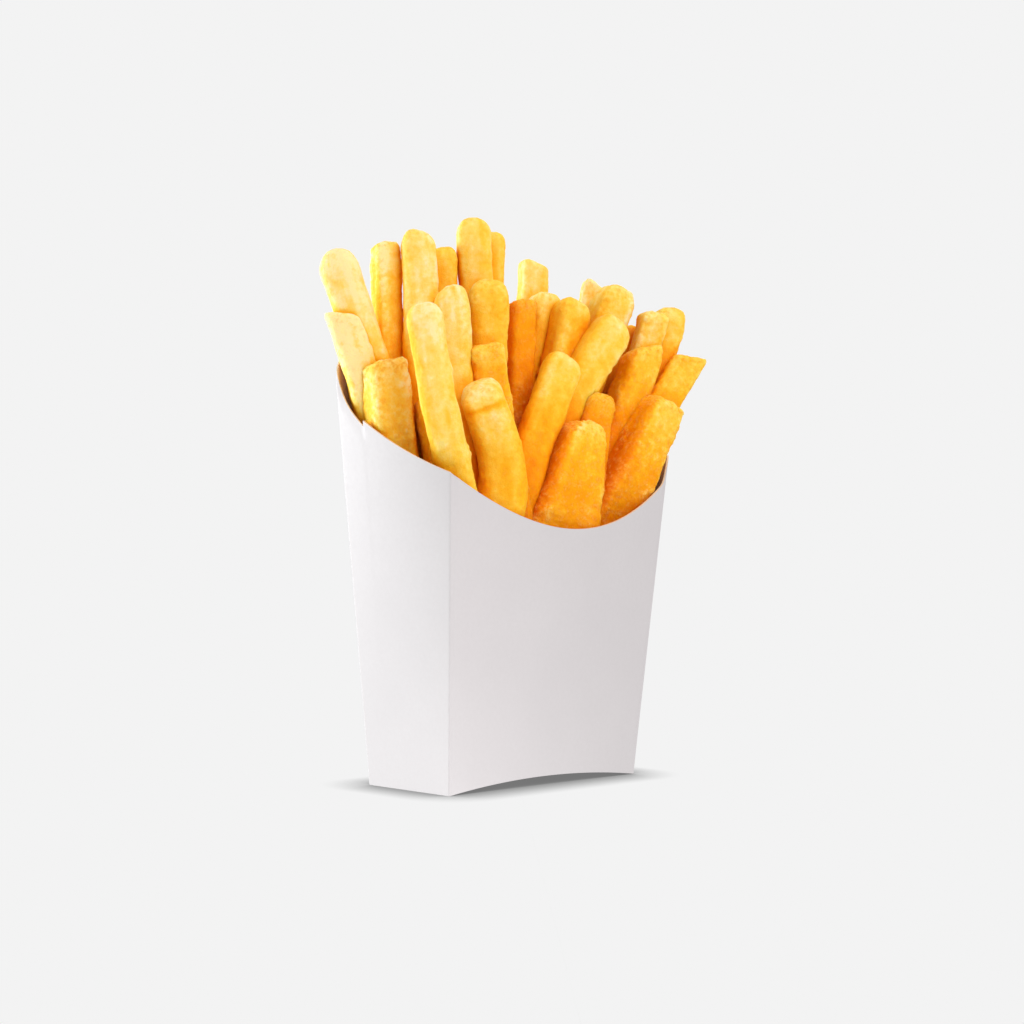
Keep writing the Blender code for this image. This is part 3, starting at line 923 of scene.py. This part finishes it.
def fryTree():
    tree = bpy.data.node_groups.new("fryTree", "GeometryNodeTree")
    face = tree.interface
    face.new_socket("Geometry", in_out="INPUT", socket_type="NodeSocketGeometry")
    face.new_socket("Around", in_out="INPUT", socket_type="NodeSocketInt")
    for name in fryShape:
        face.new_socket(name, in_out="INPUT", socket_type="NodeSocketFloat")
    face.new_socket("Material", in_out="INPUT", socket_type="NodeSocketMaterial")
    face.new_socket("Geometry", in_out="OUTPUT", socket_type="NodeSocketGeometry")
    given = addNode(tree, "NodeGroupInput").outputs
    mesh, middle, axis, share = sweepRings(tree, given)
    section, end, look, mark = [splitVector(tree, named(tree, name)) for name in
                                ("frySection", "fryEnd", "fryLook", "fryMark")]
    size = named(tree, "frySize", "FLOAT")
    seed = total(tree, look["X"], given["Seed"])
    crisp, fromTip = look["Y"], end["Z"]

    # angle round the section, with more points near the long edges
    turn = product(tree, share, 2 * math.pi)
    wave = maths(tree, "SINE", product(tree, turn, 4.0))
    crowding = maths(tree, "DIVIDE", given["Corner Crowding"], 4.0)
    angle = total(tree, turn, product(tree, wave, crowding))
    cosine, sine = maths(tree, "COSINE", angle), maths(tree, "SINE", angle)
    fourfold = maths(tree, "COSINE", product(tree, angle, 4.0))
    faceMiddle = maths(tree, "MULTIPLY_ADD", fourfold, 0.5, 0.5)
    edge = maths(tree, "SUBTRACT", 1.0, faceMiddle)
    edge = maths(tree, "POWER", edge, given["Edge Narrowness"])

    # the section is a superellipse that swells and shrinks along the fry
    slow = joinVector(tree, product(tree, fromTip, given["Swell Scale"]), seed)
    change = centred(tree, noise(tree, slow, 1.0, 1.0))
    swell = maths(tree, "MULTIPLY_ADD", change, given["Swell"], 1.0)
    power = maths(tree, "MULTIPLY_ADD", change, given["Square Change"], section["Z"])
    powers = [maths(tree, "POWER", maths(tree, "ABSOLUTE", way), power) for way in (cosine, sine)]
    reach = maths(tree, "POWER", total(tree, *powers), maths(tree, "DIVIDE", -1.0, power))
    sink = noise(tree, middle, given["Sink Scale"], 1.0, seed=seed)
    sink = product(tree, product(tree, faceMiddle, sink), given["Face Sink"])
    reach = product(tree, reach, maths(tree, "SUBTRACT", 1.0, sink))
    crease = creaseAt(tree, given, middle, angle, sine, fromTip, mark["Y"])
    dent = maths(tree, "MULTIPLY_ADD", crease, given["Crease Depth"], 1.0)
    reach = product(tree, reach, dent, product(tree, size, swell))
    acrossShare, throughShare = product(tree, reach, cosine), product(tree, reach, sine)

    # its place: middle + across + through + the slant of the end
    flat = named(tree, "fryAcross")
    lean = scaledVector(tree, axis, vectorMaths(tree, "DOT_PRODUCT", flat, axis))
    across = vectorMaths(tree, "NORMALIZE", vectorMaths(tree, "SUBTRACT", flat, lean))
    upright = vectorMaths(tree, "CROSS_PRODUCT", axis, across)
    half = product(tree, section["X"], 0.5)
    halfThrough = product(tree, section["Y"], 0.5)
    atEnd = mapRange(tree, fromTip, given["End Reach"], 0.0, smooth=True)
    slant = total(tree, product(tree, acrossShare, end["X"]),
                  product(tree, throughShare, end["Y"]))
    spot = middle
    for way, amount in ((across, product(tree, acrossShare, half)),
                        (upright, product(tree, throughShare, halfThrough)),
                        (axis, product(tree, slant, product(tree, atEnd, -1.0)))):
        spot = vectorMaths(tree, "ADD", spot, scaledVector(tree, way, amount))
    mesh = through(tree, "GeometryNodeSetPosition", mesh, Position=spot)

    # relief: lumps, blisters in patches, grain, crumbled edges and ends
    lumps, blisters, grain, crumble = reliefHeights(tree, given, seed, crisp, edge, atEnd)
    relief = total(tree, total(tree, lumps, blisters), total(tree, grain, crumble))
    normal = addNode(tree, "GeometryNodeInputNormal").outputs[0]
    offset = scaledVector(tree, normal, relief)
    mesh = through(tree, "GeometryNodeSetPosition", mesh, Offset=offset)

    # what the material reads: tone, painted light and shade included, nearness of a long edge and of the
    # end; then how far the surface is raised, crispness and seed
    tone = fryTone(tree, given, seed, cosine, sine, crease, look, mark, fromTip)
    raised = total(tree, blisters, total(tree, lumps, crumble))
    raised = maths(tree, "DIVIDE", raised, given["Relief Unit"])
    onPoints = {"data_type": "FLOAT_VECTOR", "domain": "POINT"}
    for name, value in (("fryCrust", joinVector(tree, tone, edge, atEnd)),
                        ("fryRelief", joinVector(tree, raised, crisp, seed))):
        mesh = through(tree, "GeometryNodeStoreNamedAttribute", mesh, onPoints,
                       Name=name, Value=value)

    mesh = through(tree, "GeometryNodeSetShadeSmooth", mesh)
    mesh = through(tree, "GeometryNodeRealizeInstances", mesh)
    mesh = through(tree, "GeometryNodeSetMaterial", mesh, Material=given["Material"])
    plug(tree, addNode(tree, "NodeGroupOutput").inputs["Geometry"], mesh)
    return tree


def giveInputs(modifier, tree, values):
    for item in tree.interface.items_tree:
        if item.in_out == "INPUT" and item.name in values:
            modifier[item.identifier] = values[item.name]


def growFries(name, rows, tree, material, rng):
    detail = fries["detail"][name]
    piece = newPiece(name, spineMesh(name, rows, detail["step"], rng))
    grow = piece.modifiers.new("grow", "NODES")
    grow.node_group = tree
    giveInputs(grow, tree, dict(fryShape, Around=detail["around"], Material=material))
    bakedMesh(piece)
    print(name, "grown:", len(rows), "fries,", len(piece.data.polygons), "faces")
    return piece


rng = np.random.default_rng(fries["seed"])
tree = fryTree()
rowPieces = [growFries(name, rows, tree, potato, rng) for name, rows in fryRows.items()]


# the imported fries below, a smaller core

core = {
    "front": 0.056,
    "back": 0.080,
    "floor": 0.0015,
    "gap": 0.0012,
    "columns": 90,
    "depthColumns": 40,
    "levels": 30,
    "ridge": 0.0018,           # the top is uneven by up to this much
}


def makeCore(material):
    bm = bmesh.new()
    bmesh.ops.create_cube(bm, size=2)
    for axis, cuts in ((2, core["levels"]), (0, core["columns"]), (1, core["depthColumns"])):
        along = [edge for edge in bm.edges
                 if abs(edge.verts[0].co[axis] - edge.verts[1].co[axis]) > 1]
        bmesh.ops.subdivide_edges(bm, edges=along, cuts=cuts - 1, use_grid_fill=True)
    inset = carton["board"] + core["gap"]
    for vert in bm.verts:
        across, back, level = vert.co
        up = (level + 1) / 2
        low = baseArch(across) + carton["board"] + core["floor"]
        top = core["front"] + (core["back"] - core["front"]) * (back + 1) / 2
        ridge = math.sin(across * 21 + 2 * back) * math.cos(back * 9 + across * 3)
        z = low + (top + core["ridge"] * ridge - low) * up
        x = across * (halfWidth(z) - inset - carton["board"])
        vert.co = Vector((x, back * (halfDepth(z) - inset), z)) + place
    bmesh.ops.recalc_face_normals(bm, faces=bm.faces)
    mesh = bpy.data.meshes.new("fries_core")
    bm.to_mesh(mesh)
    bm.free()
    mesh.shade_smooth()
    mesh.materials.append(material)
    return newPiece("fries_core", mesh)


corePiece = makeCore(potato)
print("core made")


# floor, world and lights

studio = {
    "backdrop": 0.896,
    "sky": 0.78,
    "bounce": 0.80,               # light the floor gives back far from the carton
    "nearBounce": 0.85,           # and this much more beside its left side
    "nearReach": 0.085,
    "nearAt": (-0.085, -0.035, 0.0),
    "contactReach": 0.015,        # how far the contact shadow spreads on the floor
    "contactPower": 1.9,
    "contactDarkest": 0.20,
    "floorSize": 6,
    "aimHeight": 0.09,
    "key": {"toLight": (-0.58, 0.80, 0.10), "away": 0.25, "size": 0.12, "power": 0.56,
            "colour": (0.97, 0.99, 1.0)},
    "fill": {"toLight": (-0.12, -0.8, 0.72), "away": 0.9, "size": 0.5, "power": 3.9,
             "colour": (1.0, 0.89, 0.90)},
}


def makeWorld():
    world = bpy.data.worlds.new("studio")
    bpy.context.scene.world = world
    world.use_nodes = True
    tree = world.node_tree
    light = tree.nodes["Background"]
    ray = addNode(tree, "ShaderNodeLightPath").outputs["Is Camera Ray"]
    strength = mapRange(tree, ray, 0.0, 1.0, studio["sky"], studio["backdrop"])
    plug(tree, light.inputs["Strength"], strength)
    light.inputs["Color"].default_value = (1, 1, 1, 1)


def makeFloor():                        # shows as the backdrop does, but for a contact shadow
    bm = bmesh.new()
    bmesh.ops.create_grid(bm, x_segments=1, y_segments=1, size=studio["floorSize"])
    mesh = bpy.data.meshes.new("floor")
    bm.to_mesh(mesh)
    bm.free()
    floor = newPiece("floor", mesh)
    material, tree, shader, where = newMaterial("pale_floor")
    shader.inputs["Base Color"].default_value = (0, 0, 0, 1)
    shader.inputs["Roughness"].default_value = 1.0
    shader.inputs["Specular IOR Level"].default_value = 0.0
    near = addNode(tree, "ShaderNodeAmbientOcclusion", samples=16)
    near.inputs["Distance"].default_value = studio["contactReach"]
    shade = maths(tree, "POWER", near.outputs["AO"], studio["contactPower"])
    shade = mapRange(tree, shade, 0.0, 1.0, studio["contactDarkest"], 1.0)
    fromNear = vectorMaths(tree, "SUBTRACT", where, studio["nearAt"])
    away = maths(tree, "DIVIDE", vectorMaths(tree, "LENGTH", fromNear), studio["nearReach"])
    local = maths(tree, "EXPONENT", product(tree, away, away, -1.0))
    bounce = maths(tree, "MULTIPLY_ADD", local, studio["nearBounce"], studio["bounce"])
    shown = product(tree, shade, studio["backdrop"])
    seen = addNode(tree, "ShaderNodeLightPath").outputs["Is Camera Ray"]
    given = addNode(tree, "ShaderNodeMix", data_type="FLOAT")
    for socket, value in zip(("Factor", "A", "B"), (seen, bounce, shown)):
        plug(tree, given.inputs[socket], value)
    shader.inputs["Emission Color"].default_value = (1, 1, 1, 1)
    plug(tree, shader.inputs["Emission Strength"], given.outputs["Result"])
    mesh.materials.append(material)


def makeLamp(name, lamp):
    data = bpy.data.lights.new(name, "AREA")
    data.size = lamp["size"]
    data.energy = lamp["power"]
    data.color = lamp["colour"]
    light = bpy.data.objects.new(name, data)
    aim = place + Vector((0, 0, studio["aimHeight"]))
    light.location = aim + Vector(lamp["toLight"]).normalized() * lamp["away"]
    light.rotation_euler = (aim - light.location).to_track_quat("-Z", "Y").to_euler()
    bpy.context.scene.collection.objects.link(light)


makeWorld()
makeFloor()
pieces = [cartonPiece, corePiece] + rowPieces
makeLamp("key", studio["key"])
makeLamp("fill", studio["fill"])
bpy.context.scene.view_settings.view_transform = "Standard"
print("studio made")


# riding on the frame

for piece in pieces:
    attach(piece, "root")
    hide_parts("carton" if piece is cartonPiece else "fries")
